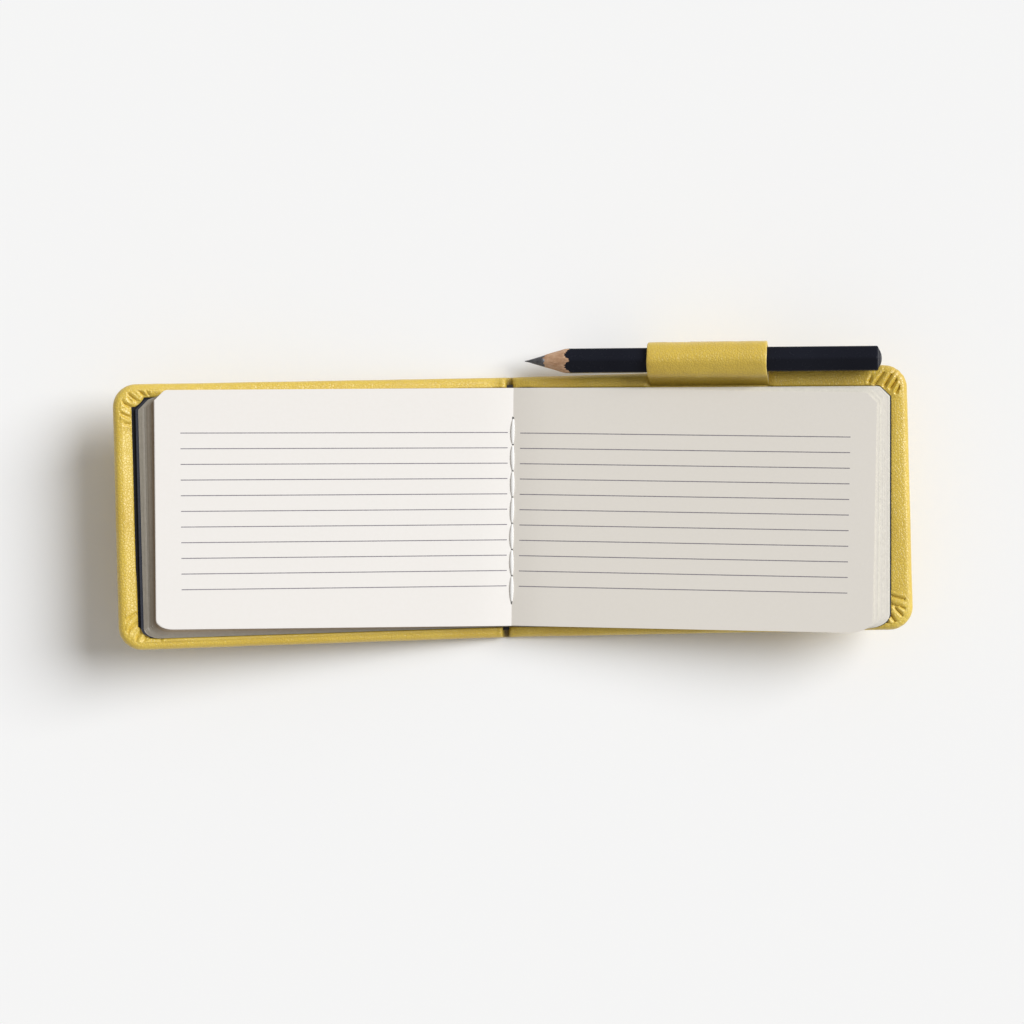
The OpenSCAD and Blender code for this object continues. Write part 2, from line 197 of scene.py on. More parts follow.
class Shader:
    """A principled material and short calls for wiring nodes to it."""

    def __init__(self, name, colour, roughness, **sockets):
        self.material = bpy.data.materials.new(name)
        self.material.use_nodes = True
        self.tree = self.material.node_tree
        self.bsdf = self.tree.nodes["Principled BSDF"]
        self.bsdf.inputs["Base Color"].default_value = (*colour, 1)
        self.bsdf.inputs["Roughness"].default_value = roughness
        for socket, value in sockets.items():
            self.bsdf.inputs[socket.replace("_", " ")].default_value = value
        self.coords = self.node("ShaderNodeTexCoord").outputs["Object"]

    def node(self, kind, **inputs):
        made = self.tree.nodes.new(kind)
        for key, value in inputs.items():
            self.put(made, key.replace("_", " "), value)
        return made

    def put(self, made, key, value):
        socket = made.inputs[int(key[1:])] if key[0] == "i" and key[1:].isdigit() else made.inputs[key]
        if isinstance(value, bpy.types.NodeSocket):
            self.tree.links.new(value, socket)
        else:
            socket.default_value = value

    def scaled(self, x, y, z):
        mapping = self.node("ShaderNodeMapping", Vector=self.coords, Scale=(x, y, z))
        return mapping.outputs[0]

    def noise(self, scale, detail=3.0, rough=0.5, vector=None):
        made = self.node("ShaderNodeTexNoise", Vector=vector or self.coords,
                         Scale=scale, Detail=detail, Roughness=rough)
        return made.outputs[0]

    def cells(self, scale, feature="DISTANCE_TO_EDGE", vector=None):
        made = self.node("ShaderNodeTexVoronoi", Vector=vector or self.coords, Scale=scale)
        made.feature = feature
        return made.outputs["Distance"]

    def math(self, operation, a, b=0.0):
        made = self.node("ShaderNodeMath", i0=a, i1=b)
        made.operation = operation
        return made.outputs[0]

    def ramp(self, value, low, high, to_low=0.0, to_high=1.0):
        made = self.node("ShaderNodeMapRange", i0=value, i1=low, i2=high, i3=to_low, i4=to_high)
        return made.outputs[0]

    def mix(self, factor, a, b, blend="MIX"):
        made = self.tree.nodes.new("ShaderNodeMix")
        made.data_type = "RGBA"
        made.blend_type = blend
        for socket, value in ((made.inputs[0], factor), (made.inputs[6], a), (made.inputs[7], b)):
            if isinstance(value, bpy.types.NodeSocket):
                self.tree.links.new(value, socket)
            elif isinstance(value, (tuple, list)):
                socket.default_value = (*value, 1)
            else:
                socket.default_value = value
        return made.outputs[2]

    def colour(self, value):
        self.tree.links.new(value, self.bsdf.inputs["Base Color"])

    def roughness(self, value):
        self.tree.links.new(value, self.bsdf.inputs["Roughness"])

    def bump(self, height, strength, distance, under=None):
        made = self.node("ShaderNodeBump", Strength=strength, Distance=distance * MM, Height=height)
        if under is not None:
            self.tree.links.new(under, made.inputs["Normal"])
        self.tree.links.new(made.outputs[0], self.bsdf.inputs["Normal"])
        return made.outputs[0]


def painted_valley_shade(s):
    """How much painted shade a point gets deep in the fold between the rims at the head and tail of the
    spine.
    """
    split = s.node("ShaderNodeSeparateXYZ", Vector=s.coords)
    x, y, z = split.outputs
    tail = s.ramp(y, 0.001, -0.001)
    centre = s.ramp(tail, 0.0, 1.0, 0.00015, -0.0026)
    away = s.math("ABSOLUTE", s.math("SUBTRACT", x, centre))
    near = s.ramp(away, 0.0005, 0.0013, 1.0, 0.0)
    low = s.ramp(z, 0.0004, 0.0007)
    deep = s.ramp(z, 0.0018, 0.0032, 0.85, 0.0)
    outer = s.ramp(y, 0.0346, 0.0368, 1.0, 0.3)
    return s.math("MULTIPLY", s.math("MULTIPLY", near, outer), s.math("MULTIPLY", low, deep))


def leather_material(name, painted_fold_shade):
    """Soft yellow calf with a fine pebble grain; the cover's has painted shade deep in the spine's fold."""
    s = Shader(name, (0.74, 0.54, 0.08), 0.34, Specular_IOR_Level=0.7, Coat_Weight=0.2, Coat_Roughness=0.25)
    warp = s.noise(450.0, 2.0)
    jitter = s.node("ShaderNodeVectorMath", i0=s.coords, i1=(0, 0, 0))
    jitter.operation = "ADD"
    offset = s.node("ShaderNodeVectorMath", i0=(0.0006, 0.0006, 0.0006))
    offset.operation = "SCALE"
    s.put(offset, "Scale", warp)
    s.put(jitter, "i1", offset.outputs[0])
    pebbles = s.ramp(s.cells(1250.0, vector=jitter.outputs[0]), 0.0, 0.16)
    fine = s.noise(4200.0, 3.0)
    soft = s.noise(160.0, 3.0, 0.6)
    patches = s.noise(45.0, 2.0, 0.5)
    tone = s.mix(s.ramp(patches, 0.3, 0.7), (0.69, 0.480, 0.058), (0.775, 0.570, 0.088))
    tone = s.mix(s.ramp(soft, 0.35, 0.75, 0.0, 0.35), tone, (0.62, 0.41, 0.055))
    tone = s.mix(s.ramp(pebbles, 0.0, 1.0, 0.22, 0.0), tone, (0.46, 0.28, 0.03))
    # Painted shade: near-black mixed in where the spine's fold between the rims lies deep
    s.colour(s.mix(painted_valley_shade(s), tone, (0.09, 0.055, 0.012)) if painted_fold_shade else tone)
    s.roughness(s.ramp(fine, 0.2, 0.8, 0.27, 0.42))
    height = s.math("ADD", s.math("MULTIPLY", pebbles, 0.75), s.math("MULTIPLY", fine, 0.35))
    height = s.math("ADD", height, s.math("MULTIPLY", soft, 1.3))
    s.bump(height, 0.65, 0.13)
    return s.material


def raw_edge_material():
    """Cut edge of the strap, paler and fibrous."""
    s = Shader("cut_leather_edge", (0.80, 0.66, 0.30), 0.8)
    fibres = s.noise(5200.0, 4.0)
    s.colour(s.mix(s.ramp(fibres, 0.3, 0.7), (0.70, 0.52, 0.17), (0.86, 0.76, 0.45)))
    s.bump(fibres, 0.6, 0.08)
    return s.material


def endpaper_material(name, dark, light):
    """Dark blue uncoated endpaper."""
    s = Shader(name, light, 0.72, Specular_IOR_Level=0.3)
    fibres = s.noise(2600.0, 5.0, 0.65)
    s.colour(s.mix(s.ramp(fibres, 0.35, 0.7), dark, light))
    s.bump(fibres, 0.25, 0.03)
    return s.material


def paper_material(name, colour, shade):
    """Smooth cream writing paper; the colour drifts a little, as its pulp does."""
    s = Shader(name, colour, 0.78, Specular_IOR_Level=0.3)
    pulp = s.noise(900.0, 5.0, 0.6)
    cloud = s.noise(35.0, 2.0)
    tone = s.mix(s.ramp(pulp, 0.3, 0.7), shade, colour)
    s.colour(s.mix(s.ramp(cloud, 0.3, 0.7, 0.0, 0.25), tone, shade))
    s.bump(s.noise(3200.0, 4.0, 0.6), 0.07, 0.02)
    return s.material


def ink_material():
    s = Shader("rule_ink", (0.22, 0.20, 0.22), 0.8)
    s.colour(s.mix(s.ramp(s.noise(2500.0, 3.0), 0.35, 0.7), (0.17, 0.155, 0.18), (0.29, 0.27, 0.30)))
    return s.material


def thread_material():
    """Twisted white linen thread."""
    s = Shader("linen_thread", (0.86, 0.85, 0.82), 0.7)
    twist = s.node("ShaderNodeTexWave", Vector=s.scaled(1.0, 0.45, 1.0), Scale=1500.0, Distortion=1.5)
    twist.wave_type = "BANDS"
    twist.bands_direction = "DIAGONAL"
    s.colour(s.mix(s.ramp(twist.outputs[1], 0.1, 0.7), (0.80, 0.79, 0.77), (0.93, 0.92, 0.90)))
    s.bump(twist.outputs[1], 0.35, 0.04)
    return s.material


def hole_material():
    """Torn paper round a sewing hole, painted near-black as the hole's shade."""
    s = Shader("sewing_hole_painted_shade", (0.16, 0.15, 0.14), 0.9)
    s.colour(s.mix(s.ramp(s.noise(3500.0, 4.0), 0.35, 0.65), (0.05, 0.05, 0.045), (0.22, 0.21, 0.20)))
    return s.material


def board_material():
    s = Shader("grey_board", (0.33, 0.30, 0.26), 0.85)
    flecks = s.noise(1800.0, 5.0, 0.7)
    s.colour(s.mix(s.ramp(flecks, 0.3, 0.7), (0.26, 0.24, 0.20), (0.42, 0.39, 0.34)))
    s.bump(flecks, 0.3, 0.04)
    return s.material


def lining_material():
    """Open starched cloth glued to the backs of the sections."""
    s = Shader("mull_cloth", (0.035, 0.035, 0.04), 0.85)
    weave = s.node("ShaderNodeTexWave", Vector=s.coords, Scale=700.0)
    weave.bands_direction = "Y"
    s.colour(s.mix(weave.outputs[1], (0.022, 0.022, 0.027), (0.05, 0.05, 0.056)))
    s.bump(weave.outputs[1], 0.5, 0.05)
    return s.material


def cedar_material():
    """Cut cedar, with streaks along the pencil's own axis."""
    s = Shader("cedar", (0.55, 0.32, 0.18), 0.62)
    streaks = s.noise(1.0, 4.0, 0.6, vector=s.scaled(220.0, 1800.0, 1800.0))
    facets = s.noise(1.0, 2.0, 0.5, vector=s.scaled(900.0, 500.0, 500.0))
    tone = s.mix(s.ramp(streaks, 0.3, 0.7), (0.40, 0.20, 0.10), (0.66, 0.42, 0.26))
    s.colour(s.mix(s.ramp(facets, 0.4, 0.7, 0.0, 0.35), tone, (0.74, 0.52, 0.35)))
    s.bump(streaks, 0.4, 0.06)
    return s.material


def lacquer_material():
    """Thick dark blue lacquer, with slight orange peel."""
    s = Shader("navy_lacquer", (0.009, 0.010, 0.017), 0.3, Specular_IOR_Level=0.14)
    peel = s.noise(260.0, 2.0)
    s.colour(s.mix(s.ramp(s.noise(60.0, 3.0), 0.3, 0.7), (0.0075, 0.0085, 0.0145), (0.0105, 0.0120, 0.0195)))
    s.roughness(s.ramp(s.noise(700.0, 3.0), 0.3, 0.7, 0.20, 0.30))
    s.bump(peel, 0.25, 0.05)
    return s.material


def graphite_material():
    s = Shader("graphite", (0.07, 0.07, 0.075), 0.42, Metallic=0.35)
    grain = s.noise(1.0, 4.0, 0.7, vector=s.scaled(1200.0, 3000.0, 3000.0))
    s.colour(s.mix(s.ramp(grain, 0.3, 0.7), (0.06, 0.06, 0.066), (0.15, 0.15, 0.16)))
    s.bump(grain, 0.5, 0.05)
    return s.material


LEATHER = leather_material("yellow_leather", True)
STRAP_LEATHER = leather_material("strap_leather", False)
RAW_EDGE = raw_edge_material()
ENDPAPER = endpaper_material("navy_endpaper", (0.026, 0.029, 0.041), (0.044, 0.048, 0.064))
# The same navy endpaper as the flyleaves, made near-black as painted shade for the deep recess it lies in
PASTEDOWN_PAINTED_SHADE = endpaper_material("pasted_endpaper_painted_shade", (0.006, 0.006, 0.008), (0.010, 0.010, 0.013))
# The back copy of the same paper is warmer and a little darker, as painted shade for the pages that face
# away from the key light
PAPER = {-1: paper_material("cream_paper_front", (0.800, 0.770, 0.738), (0.788, 0.758, 0.722)),
         1: paper_material("cream_paper_back_painted_shade", (0.795, 0.755, 0.695), (0.782, 0.742, 0.680))}
# Cut edges by side, from the lowest leaves to the uppermost; the front ones are a shaded copy, painted shade
# that is darker and browner towards the top leaf, and the back ones a lit copy near the paper's own colour
EDGE_TONES_AND_SHADE = {-1: [paper_material("front_edge_low_painted_shade", (0.44, 0.40, 0.335), (0.38, 0.345, 0.285)),
                   paper_material("front_edge_middle_painted_shade", (0.45, 0.39, 0.32), (0.39, 0.34, 0.27)),
                   paper_material("front_edge_high_painted_shade", (0.44, 0.355, 0.26), (0.39, 0.31, 0.225))],
              1: [paper_material("back_edge_low", (0.80, 0.78, 0.72), (0.72, 0.70, 0.64)),
                  paper_material("back_edge_middle", (0.78, 0.75, 0.69), (0.70, 0.67, 0.61)),
                  paper_material("back_edge_high", (0.79, 0.76, 0.69), (0.72, 0.69, 0.62))]}
INK = ink_material()
THREAD = thread_material()
BOARD = board_material()
LINING_AND_GAP_SHADE = lining_material()
HOLE_SHADE = hole_material()
CEDAR = cedar_material()
LACQUER = lacquer_material()
GRAPHITE = graphite_material()


# Cover

FOLD_HALF = 1.6


def fold(side, xi, v, w):
    """Row-frame points of a cover that bends smoothly at its hinge line."""
    xi, v, w = np.broadcast_arrays(*(np.asarray(a, float) for a in (xi, v, w)))
    a = ANGLE[side]
    start = SPINE_HALF - FOLD_HALF
    turn = a * np.clip((xi - start) / (2 * FOLD_HALF), 0, 1)
    radius = 2 * FOLD_HALF / a
    before = np.minimum(xi, start)
    after = np.maximum(xi - SPINE_HALF - FOLD_HALF, 0)
    x = before + radius * np.sin(turn) + after * cos(a)
    z = HINGE_Z + radius * (1 - np.cos(turn)) + after * sin(a)
    x = x - (w - HINGE_Z) * np.sin(turn)
    z = z + (w - HINGE_Z) * np.cos(turn)
    return np.stack([side * x, v, z], axis=-1)


FAR_XI = SPINE_HALF + COVER_W
CORNER_XI = FAR_XI - CORNER_R
CORNER_V = COVER_H / 2 - CORNER_R
LIP_XI = FAR_XI - RIM_FORE
LIP_V = COVER_H / 2 - RIM_SIDE
CREASE_DEPTH = 0.95
CREASE_HALF_W = 0.14
LIP_REACH = 0.47
CROWN = {-1: 0.38, 1: 0.12}
FLOOR_TOP = BOARD_TOP - 0.05
FLOOR_RISE = (5.6, 8.0)
# Gathers at each outer corner: points of each crease from the endpaper outwards, given
# by their distance in from the fore-edge and in from the head or tail
CREASES = {
    (-1, 1): [
        [(8.9, 3.6), (7.7, 2.4), (6.3, 0.8)],
        [(7.0, 5.2), (4.6, 3.1), (3.4, 1.5)],
        [(5.3, 6.8), (3.0, 5.4), (2.3, 4.1)],
        [(5.0, 9.4), (2.5, 8.2), (0.9, 7.2)],
        [(5.0, 9.9), (2.4, 8.6), (0.5, 7.4)],
        [(9.9, 3.2), (9.2, 1.8)],
        [(5.0, 11.4), (2.6, 11.0)],
        [(5.0, 13.3), (3.2, 12.6)],
        [(4.9, 4.6), (3.9, 3.3)],
    ],
    (1, 1): [
        [(8.9, 5.4), (7.0, 2.9), (5.1, 0.8)],
        [(6.2, 5.8), (4.6, 3.2), (2.6, 0.8)],
        [(4.5, 6.5), (2.6, 3.8), (1.4, 2.2)],
        [(3.0, 7.8), (1.6, 5.6), (0.7, 4.3)],
        [(6.5, 1.0), (5.8, 0.2)],
        [(10.4, 4.6), (9.6, 2.4)],
    ],
    (-1, -1): [
        [(5.7, 10.6), (3.1, 9.2), (1.5, 7.3)],
        [(5.7, 8.2), (3.1, 6.0), (1.5, 3.6)],
        [(6.0, 5.0), (5.0, 3.6), (4.5, 1.8)],
        [(8.0, 4.4), (6.7, 2.4)],
        [(11.6, 3.2), (11.3, 2.1)],
    ],
    (1, -1): [
        [(5.8, 9.5), (3.5, 8.8), (0.5, 8.1)],
        [(5.8, 7.1), (3.5, 6.5), (1.1, 5.4)],
        [(4.9, 6.2), (2.9, 3.9), (1.3, 2.7)],
        [(6.1, 4.1), (5.0, 2.4), (3.5, 0.9)],
        [(7.8, 3.6), (7.1, 1.7), (6.2, 0.2)],
        [(9.6, 2.9), (9.4, 0.8)],
    ],
}


def spaced(*stretches):
    """Samples along a line from (start, end, step) stretches that join up."""
    out = [stretches[0][0]]
    for low, high, step in stretches:
        count = max(1, round((high - low) / step))
        out += [low + (high - low) * (i + 1) / count for i in range(count)]
    return np.array(out)


HEAD_XI = spaced((0, 6, 0.16), (6, 12, 0.4), (12, CORNER_XI - 7, 1.1), (CORNER_XI - 7, CORNER_XI, 0.22))
FORE_V = spaced((-CORNER_V, 6 - CORNER_V, 0.22), (6 - CORNER_V, CORNER_V - 6, 1.1),
                (CORNER_V - 6, CORNER_V, 0.22))
CORNER_STEPS = 72


def lip_point(side, xi, v, dx, dv):
    """The endpaper's edge that faces a point of the outline."""
    turn = BACK_TURN if side > 0 else 0.0
    near = LIP_XI - LIP_V * tan(turn)
    far = LIP_XI + (LIP_V - LIP_XI * tan(turn)) * tan(turn)
    sign = 1 if v > 0 else -1
    corner = far if sign > 0 else near
    half = LIP_V - (LIP_XI - SPINE_HALF) * tan(turn) * (sign > 0)
    if dx == 0:
        start = CORNER_XI - 25
        pull = (CORNER_XI - (corner - ENDPAPER_CUT)) * float(smoothstep(start, CORNER_XI, xi))
        x = xi - pull
        return x, sign * (LIP_V - max(x - SPINE_HALF, 0) * tan(turn) * (sign > 0))
    if dv == 0:
        share = (v + CORNER_V) / (2 * CORNER_V)
        tail, head = ENDPAPER_CUT - LIP_V, LIP_V - LIP_XI * tan(turn) - ENDPAPER_CUT
        return near + (far - near) * share, tail + (head - tail) * share
    t = atan2(-dx, abs(dv)) / (pi / 2)
    return corner - ENDPAPER_CUT * (1 - t), sign * (half - ENDPAPER_CUT * t)


def perimeter(side):
    """Outline point, inward direction and lip point along one cover, head to tail."""
    rows = []
    for xi in HEAD_XI:
        rows.append((xi, COVER_H / 2, 0, -1))
    for i in range(1, CORNER_STEPS):
        t = i / CORNER_STEPS * pi / 2
        rows.append((CORNER_XI + CORNER_R * sin(t), CORNER_V + CORNER_R * cos(t), -sin(t), -cos(t)))
    fore = [(FAR_XI, v, -1, 0) for v in FORE_V[::-1]]
    tail = [(xi, -v, dx, -dv) for xi, v, dx, dv in rows[::-1]]
    return np.array([row + lip_point(side, *row) for row in rows + fore + tail])


# Top of the leather across the spine, from the front cover to the back cover
VALLEY = ((-4.5, -3.2, -2.2, -1.4, -0.9, -0.6, 0.5, 0.9, 1.7, 3.7, 6.0, 7.0),
          (3.8, 3.85, 4.1, 3.9, 1.8, 0.7, 0.7, 2.0, 2.55, 3.2, 3.8, 3.8))
VALLEY_SHIFT = {1: 0.2, -1: -2.7}


def rim_height(side, xi, v):
    """Top of the leather beside the leaves; it sinks into a valley at the spine."""
    x = side * xi - np.where(v > 0, VALLEY_SHIFT[1], VALLEY_SHIFT[-1])
    return np.interp(x, *VALLEY)


def crease_depth(side, xi, v):
    """Depth of the gathers that cross the rim at the outer corners."""
    depth = np.zeros_like(xi)
    a, b = FAR_XI - xi, COVER_H / 2 - np.abs(v)
    close = (a < 16) & (b < 18)
    for sign in (-1, 1):
        here = close & (np.sign(v) == sign)
        p = np.stack([a[here], b[here]], axis=1)
        total = np.zeros(len(p))
        for n, line in enumerate(CREASES[side, sign]):
            line = np.array(line)
            lengths = np.hypot(*(line[1:] - line[:-1]).T)
            whole, done = lengths.sum(), 0.0
            gap, along = np.full(len(p), 99.0), np.zeros(len(p))
            for start, end, length in zip(line, line[1:], lengths):
                t = np.clip(((p - start) @ (end - start)) / length ** 2, 0, 1)
                d = np.hypot(*(p - start - t[:, None] * (end - start)).T)
                nearer = d < gap
                gap, along = np.where(nearer, d, gap), np.where(nearer, (done + t * length) / whole, along)
                done += length
            fade = (1 - 0.9 * along ** 2) * (0.45 + 0.55 * min(whole / 4, 1))
            valley = np.exp(-gap / CREASE_HALF_W) + 0.22 * np.exp(-(gap / 0.55) ** 2)
            ridge = 0.25 * np.exp(-((gap - 0.85) / 0.42) ** 2)
            total += fade * (valley - ridge)
        depth[here] = total
    return CREASE_DEPTH * depth


def floor_height(xi):
    """Top of the cover under the endpaper: low at the spine and level beyond the hinge."""
    return LEATHER_T + (FLOOR_TOP - LEATHER_T) * smoothstep(*FLOOR_RISE, xi)


def inner_fill(points, faces, side, xs, vs, w_of):
    """A rectangular field inside a ring of the cover, welded to it later."""
    first = len(points)
    grid = [fold(side, xs, v, w_of(xs)) for v in vs]
    for row in grid:
        points.extend(row.tolist())
    faces.extend(grid_faces(len(vs), len(xs), first))


def cover_leather(side):
    """One cover and its half of the spine, as a padded wrapped hide."""
    path = perimeter(side)
    xi, v, dx, dv, lip_x, lip_v = path.T
    top = rim_height(side, xi, v)
    if side > 0:
        strap = (np.abs(xi - SPINE_HALF - LOOP_U) < LOOP_LEN / 2 + NOTCH_GAP * 0.8) & (v > CORNER_V)
    else:
        strap = np.zeros(len(xi), bool)
    top = np.where(strap, FLOOR_TOP, top)
    radius = top / 2
    samples = np.stack([xi, v, 0 * v], axis=1)
    swell = 0.10 * wobble(samples, 0.10, 3 + side) + 0.05 * wobble(samples, 0.4, 8 + side)
    floor_w = floor_height(xi)
    rows = []

    def groove(x):
        return 0.42 * np.exp(-((x - SPINE_HALF - 2.9) / 1.1) ** 2)

    inner_x = np.minimum(xi, CORNER_XI)
    inner_v = np.clip(v, -CORNER_V, CORNER_V)
    edge_x, edge_v = xi + dx * radius, v + dv * radius
    for q in (0.0, 0.4, 0.8):
        x = inner_x + (edge_x - inner_x) * q
        rows.append((x, inner_v + (edge_v - inner_v) * q, groove(x)))
    for phi in np.linspace(0, pi, 19):
        crease = crease_depth(side, xi, v) * smoothstep(0.9, 2.2, phi)
        pull = radius - crease + swell * sin(phi) * 0.6
        x = xi + dx * (radius - pull * sin(phi))
        rows.append((x, v + dv * (radius - pull * sin(phi)),
                     radius - pull * cos(phi) + groove(x) * (1 - sin(phi / 2))))
    corner_lip = 0.6 * smoothstep(80, 98, xi) * ((side < 0) & (v > 0) & (dv < 0))
    lip = np.where(strap, 0.0, LIP_REACH + corner_lip)
    if side < 0:
        lip = np.where(dv == 0, 0.16 + 0.2 * smoothstep(0, -26, v) - 0.12 * smoothstep(5, 26, v), lip)
    full = np.minimum(lip / LIP_REACH, 1)
    far_x, far_v = lip_x + dx * lip, lip_v + dv * lip
    width = np.hypot(far_x - edge_x, far_v - edge_v)
    for q in np.linspace(0, 1, 26)[1:]:
        x = edge_x + (far_x - edge_x) * q
        y = edge_v + (far_v - edge_v) * q
        crown = (CROWN[side] + swell) * np.sin(pi * np.minimum(q * 1.15, 1)) * np.minimum(width / 2.5, 1)
        if side < 0:
            slope = 0.07 * sin(pi / 2 * min(q / 0.2, 1)) - 0.55 * max(0.0, (q - 0.1) / 0.9)
            broad = smoothstep(1.9, 2.8, width)
            crown = crown * (1 - broad) + (slope + swell * sin(pi * q)) * broad
        shoulder = (top - floor_w - 0.15) * smoothstep(1 - 0.55 / width, 1.0, q) ** 2
        shoulder = shoulder * (1 - 0.45 * full)
        dip = crease_depth(side, x, y) * (1 - 0.4 * q)
        height = np.maximum(top + crown - shoulder - dip, np.minimum(floor_w + 0.14, top))
        rows.append((x, y, np.where(strap, top, height)))
    rows.append((far_x - dx * lip * 0.15, far_v - dv * lip * 0.15, floor_w + 0.42 * full))
    rows.append((lip_x, lip_v, floor_w + 0.3 * full))
    rows.append((lip_x, lip_v, floor_w))
    fill_x = lip_x[0] + (LIP_XI - ENDPAPER_CUT - 1) * inner_x / CORNER_XI
    fill_v = inner_v * (LIP_V - ENDPAPER_CUT - 1) / CORNER_V
    rows.append((fill_x, fill_v, floor_height(fill_x)))
    points = []
    for x, y, w in rows:
        points.extend(fold(side, x, y, w).tolist())
    faces = grid_faces(len(rows), len(xi))
    inner_fill(points, faces, side, HEAD_XI, FORE_V, groove)
    floor_xs = HEAD_XI * (LIP_XI - ENDPAPER_CUT - 1) / CORNER_XI
    floor_vs = FORE_V * (LIP_V - ENDPAPER_CUT - 1) / CORNER_V
    inner_fill(points, faces, side, floor_xs, floor_vs, floor_height)
    name = SIDE_NAME[side] + "_cover_leather"
    obj = make_object(name, points, faces, [LEATHER], weld=0.004, sharp=80)
    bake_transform(obj)
    return obj


# Leaves

LEAVES = 43
LEAF_T = 0.085


def cover_plane_z(side, w, x):
    """Height at x of the plane that lies w above a cover's outer face."""
    a = ANGLE[side]
    u = (x - SPINE_HALF + (w - HINGE_Z) * sin(a)) / cos(a)
    return HINGE_Z + u * sin(a) + (w - HINGE_Z) * cos(a)


def leaf_z(side, share, x):
    """Height of the leaf that lies at this share of the block, 0 at the bottom."""
    w = BLOCK_LOW + HALF_BLOCK * share
    reach = SPINE_HALF + (DIP_REACH - SPINE_HALF) * share
    flat = cover_plane_z(side, w, x)
    drop = cover_plane_z(side, w, 0) - BACK_Z - GUTTER_H * share
    return flat - drop * np.clip(1 - x / reach, 0, 1) ** 2


# How far each leaf's fore-edge lies in from the lowest leaf's, and its turn in
# degrees, by its share of the block's height
FAN_BACK = {-1: ((0, 0.3, 0.5, 0.75, 1), (0, 1.9, 2.7, 3.4, 3.7)),
            1: ((0, 0.35, 0.4, 0.6, 0.64, 0.8, 0.84, 1), (0, 0.4, 1.5, 2.1, 2.7, 3.0, 3.8, 4.2))}
LEAF_TURN = {-1: ((0, 1), (0, 1.05)), 1: ((0, 0.4, 0.7, 1), (1.5, 1.6, 2.0, 2.7))}


def leaf_reach(side, share):
    """Distance from the gutter to a leaf's fore-edge, seen from above."""
    a = ANGLE[side]
    w = BLOCK_LOW + HALF_BLOCK * share
    u = LOW_LEAF_U[side] - np.interp(share, *FAN_BACK[side])
    return SPINE_HALF + u * cos(a) - (w - HINGE_Z) * sin(a)


def turned(side, x, v, share):
    """Seen from above: a leaf starts at the slanting gutter and turns with its fan."""
    a = radians(np.interp(share, *LEAF_TURN[side]))
    out = smoothstep(0, 14, x)
    return (side * x * cos(a) + v * (tan(GUTTER_SKEW) * (1 - out) + sin(a) * out),
            v * cos(a) - side * x * sin(a))


def leaf_columns(side, share, jitter):
    """Samples from the gutter to the fore-edge, with the leaf's tail and head there."""
    far = leaf_reach(side, share) + jitter
    long, short = TAIL_ROUND[side]
    xs = [0, 0.8, 1.7, 2.7, 3.9, 5.2, 6.8, 9.0, 14.0]
    xs += np.linspace(14, far - long, 9)[1:].tolist()
    xs += [far - long * (1 - sin(t * pi / 2)) for t in np.linspace(0, 1, 11)[1:-1]]
    xs += [far - EDGE_SHOW * 0.6, far]
    xs = np.array(sorted(xs))
    past = np.clip((xs - far + long) / long, 0, 1)
    lift, drop = (np.interp(share, (0, 1), both) for both in TAPER[side])
    tail = -LEAF_H / 2 + 0.3 * share + lift * xs / far
    head = LEAF_H / 2 - drop * xs / far
    tail = tail + short * (1 - np.sqrt(np.maximum(1 - past ** 2, 0)))
    return xs, tail, head - np.clip(xs - far + HEAD_CUT, 0, HEAD_CUT)


LEAF_ROWS = 13
FLYLEAF_ROWS = 5
EDGE_SHOW = 0.35
# How far each flyleaf shows beyond the leaves
FLYLEAF_SHOW = {-1: 0.8, 1: 0.3}
# How much a leaf's tail rises and its head falls at the fore-edge, lowest and uppermost
TAPER = {-1: ((0.0, 0.5), (1.2, 0.6)), 1: ((0.0, 0.5), (0.0, 0.0))}


def page_ripple(side, x, v):
    """How far an open page rises at a point from lying flat."""
    ripple = 0.10 * np.sin(x * 0.07 + 0.06 * v + side) * smoothstep(8, 40, x)
    ripple = ripple + 0.12 * smoothstep(20, 34, np.abs(v)) * smoothstep(20, 90, x)
    return np.maximum(ripple, 0)


def leaves(side):
    """The leaves on one side of the opening, each a thin sheet of its own."""
    rng = np.random.default_rng(7 + side)
    points, faces, slots = [], [], []
    drift = 0.0
    for n in range(LEAVES):
        share = (n + 0.5) / LEAVES
        drift = 0.7 * drift + rng.normal(0, 0.05)
        x, tail, head = leaf_columns(side, share, drift + rng.normal(0, 0.03))
        z = leaf_z(side, share, x)
        shift = rng.normal(0, 0.04)
        cols = len(x)
        first = len(points)
        top = n >= LEAVES - 2
        edge_share = EDGE_SHOW / LEAF_H
        shares = np.array([0, edge_share, 0.5, 1 - edge_share, 1])
        if top:
            shares = np.linspace(0, 1, LEAF_ROWS)
        rows = len(shares)
        # Edge slot by height in the block; on the front these carry painted shade, darkest and brownest next
        # to the top leaf
        tone = 1 + min(int(share * 3.2), 2)
        for lift in (0.5, -0.5):
            for r in range(rows):
                v = tail + (head - tail) * shares[r] + shift
                px, py = turned(side, x, v, share)
                ripple = page_ripple(side, x, v) if top else 0.0
                points.extend(np.stack([px, py, z + lift * LEAF_T + ripple], 1).tolist())
        under = first + rows * cols
        for r in range(rows - 1):
            for c in range(cols - 1):
                quad = (r * cols + c, r * cols + c + 1, (r + 1) * cols + c + 1, (r + 1) * cols + c)
                faces.append(tuple(first + q for q in quad))
                faces.append(tuple(under + q for q in quad[::-1]))
                edge = not top and (c >= cols - 3 or r in (0, rows - 2))
                slots += [tone if edge else 0, 0]
        for a, b in grid_rim(rows, cols):
            faces.append((first + a, first + b, under + b, under + a))
            slots.append(tone)
    name = SIDE_NAME[side] + "_leaves"
    obj = make_object(name, points, faces, [PAPER[side]] + EDGE_TONES_AND_SHADE[side], sharp=35, face_slots=slots)
    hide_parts("page_block")
    follow_cover(obj)
    return obj


